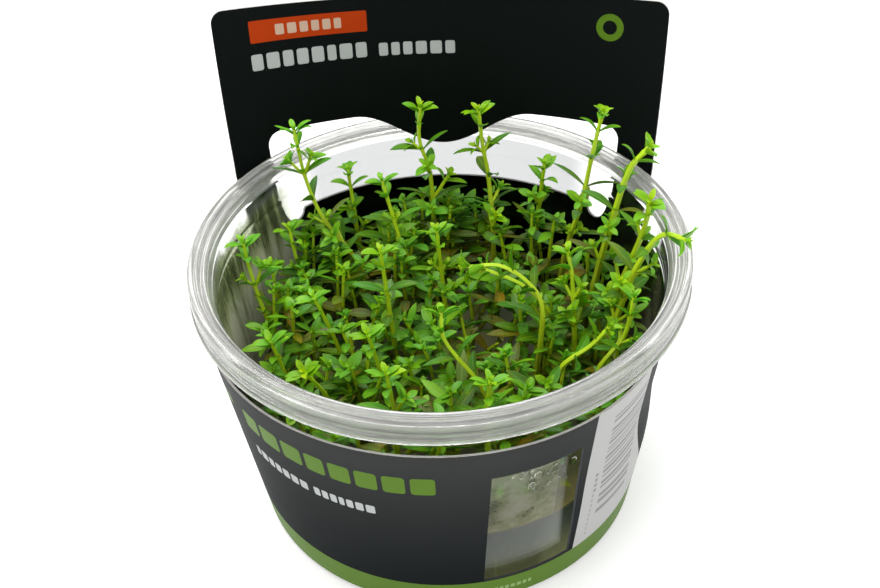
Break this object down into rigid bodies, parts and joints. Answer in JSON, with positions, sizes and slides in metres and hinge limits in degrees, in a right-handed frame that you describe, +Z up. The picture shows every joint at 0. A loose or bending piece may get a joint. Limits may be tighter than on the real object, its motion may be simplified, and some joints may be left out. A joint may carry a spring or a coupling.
{
  "type": "needle leaf ludwigia tissue culture cup",
  "caption": "Clear snap-rim plastic cup of small upright aquarium plants growing on set gel, in a dark card band with a tall header behind the rim and a square window in front.",
  "frame": {"origin": "centre of the cup's flat underside, on the table", "axes": "+Z up through the cup's mouth, -Y out of the front with the window, +Y towards the header card"},
  "size_m": [0.1007, 0.1006, 0.094],
  "materials": {
    "clear_plastic": "gloss",
    "culture_gel": "satin",
    "printed_card": "satin",
    "undergrowth_foliage": "satin",
    "shoot_foliage": "satin"
  },
  "bodies": {
    "root": {"cup": "clear_plastic", "gel": "culture_gel", "card_sleeve": "printed_card", "undergrowth": "undergrowth_foliage", "shoot_back_left": "shoot_foliage", "shoot_back_mid_left": "shoot_foliage", "shoot_back_mid_right": "shoot_foliage", "shoot_back_right": "shoot_foliage", "shoot_spear": "shoot_foliage", "shoot_right": "shoot_foliage", "shoot_over_rim": "shoot_foliage", "shoot_left": "shoot_foliage", "shoot_left_whorl": "shoot_foliage", "shoot_front_left": "shoot_foliage", "shoot_arch": "shoot_foliage", "shoot_low_arch": "shoot_foliage", "shoot_front_diagonal": "shoot_foliage", "shoot_mid_right": "shoot_foliage", "shoot_front_right": "shoot_foliage", "shoot_right_front": "shoot_foliage", "shoot_mid_left": "shoot_foliage", "shoot_back_centre": "shoot_foliage", "shoot_back_edge_left": "shoot_foliage", "shoot_left_back": "shoot_foliage", "shoot_front": "shoot_foliage", "shoot_front_mid_left": "shoot_foliage", "shoot_front_mid_right": "shoot_foliage", "shoot_centre": "shoot_foliage", "shoot_back_edge_right": "shoot_foliage", "shoot_left_front": "shoot_foliage"}
  },
  "joints": []
}
